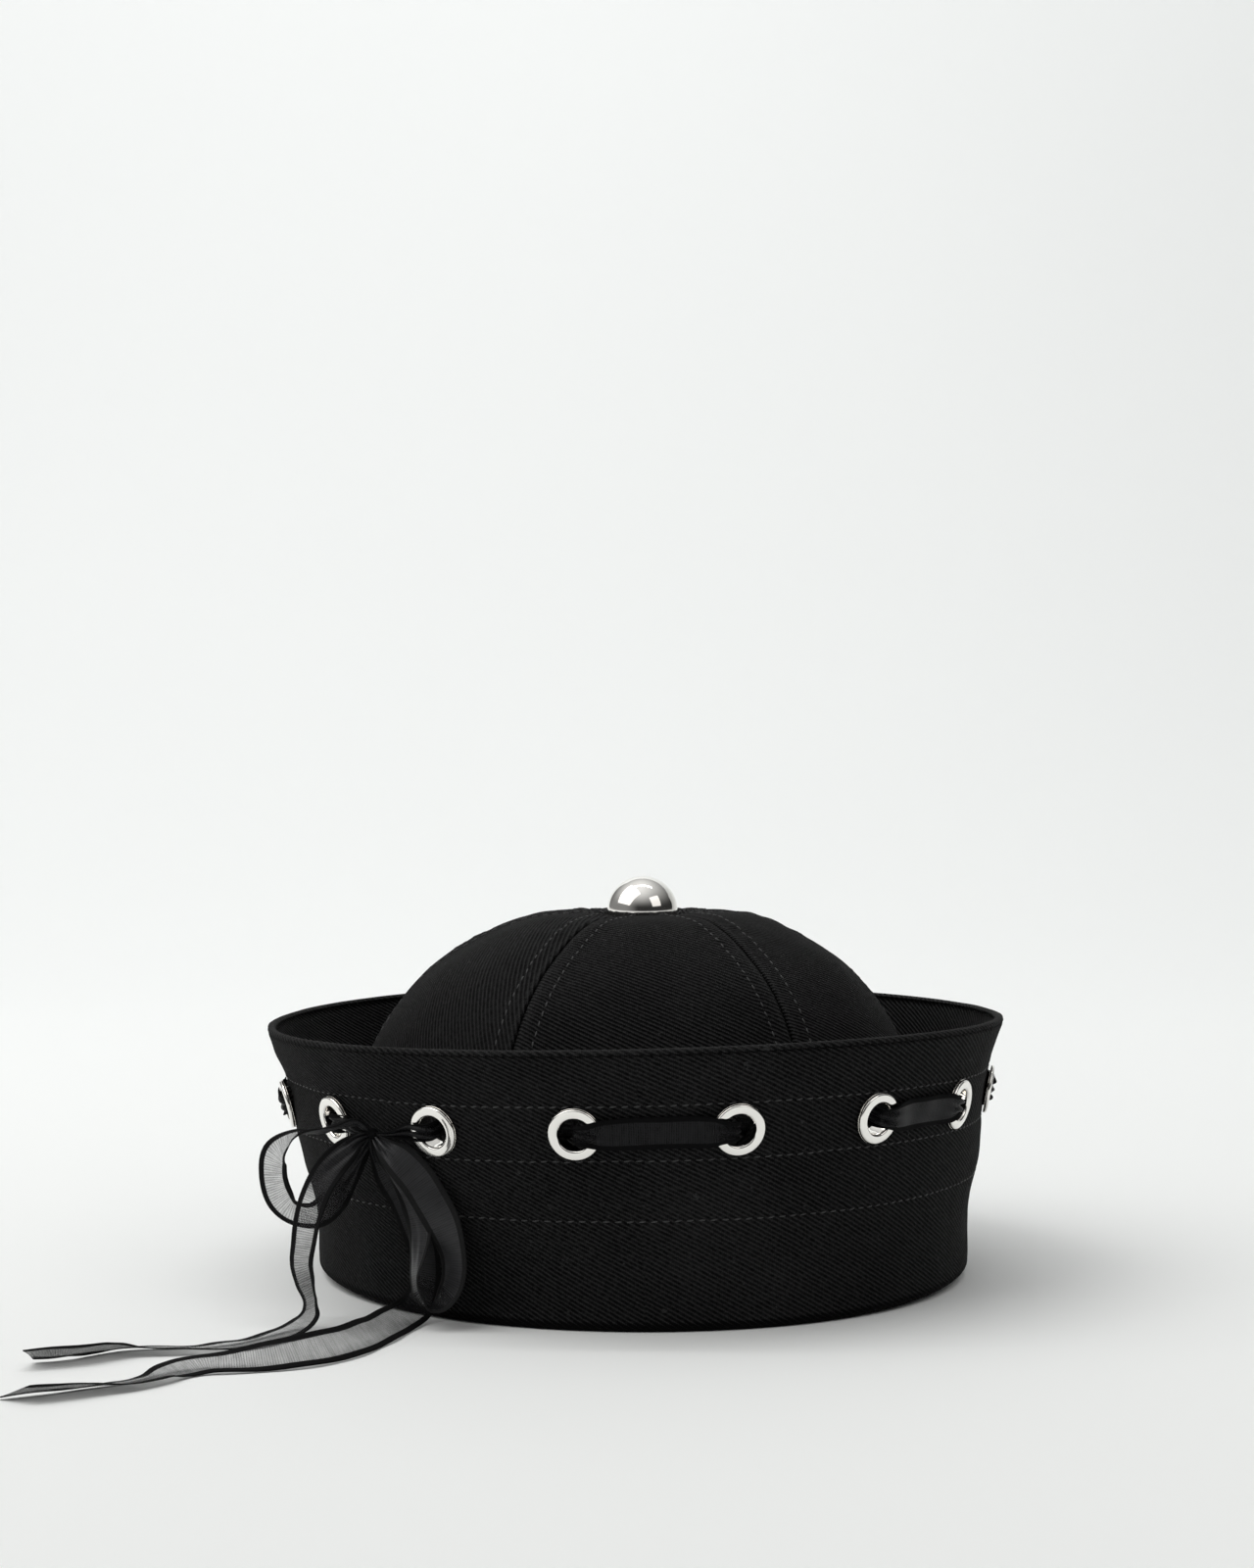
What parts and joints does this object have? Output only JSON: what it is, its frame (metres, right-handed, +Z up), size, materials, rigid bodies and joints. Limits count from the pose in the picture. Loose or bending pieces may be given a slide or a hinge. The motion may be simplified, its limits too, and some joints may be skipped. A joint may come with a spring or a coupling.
{
  "type": "sailor hat",
  "caption": "Round cloth hat with a domed crown of sewn panels, a high turned-up brim laced with ribbon through metal eyelets, a ribbon bow at one side and a metal ball on top.",
  "frame": {"origin": "on the surface the hat rests on, under the middle of the brim's rim", "axes": "+Z up to the ball on the crown, -Y the front as shown, +X to the front's right-hand side as seen"},
  "size_m": [0.254, 0.2902, 0.1129],
  "materials": {
    "cloth": "matt black cotton twill",
    "metal": "polished nickel plate",
    "ribbon": "sheer black organza with woven edges"
  },
  "bodies": {
    "root": {"brim": "cloth", "crown_panel_1": "cloth", "crown_panel_2": "cloth", "crown_panel_3": "cloth", "crown_panel_4": "cloth", "crown_panel_5": "cloth", "crown_panel_6": "cloth", "eyelet_01": "metal", "eyelet_02": "metal", "eyelet_03": "metal", "eyelet_04": "metal", "eyelet_05": "metal", "eyelet_06": "metal", "eyelet_07": "metal", "eyelet_08": "metal", "eyelet_09": "metal", "eyelet_10": "metal", "eyelet_11": "metal", "eyelet_12": "metal", "eyelet_13": "metal", "eyelet_14": "metal", "eyelet_15": "metal", "eyelet_16": "metal", "ball_stud": "metal", "lace": "ribbon", "bow_knot": "ribbon", "bow_loop_left": "ribbon", "bow_loop_right": "ribbon", "tail_upper": "ribbon", "tail_lower": "ribbon"}
  },
  "joints": []
}
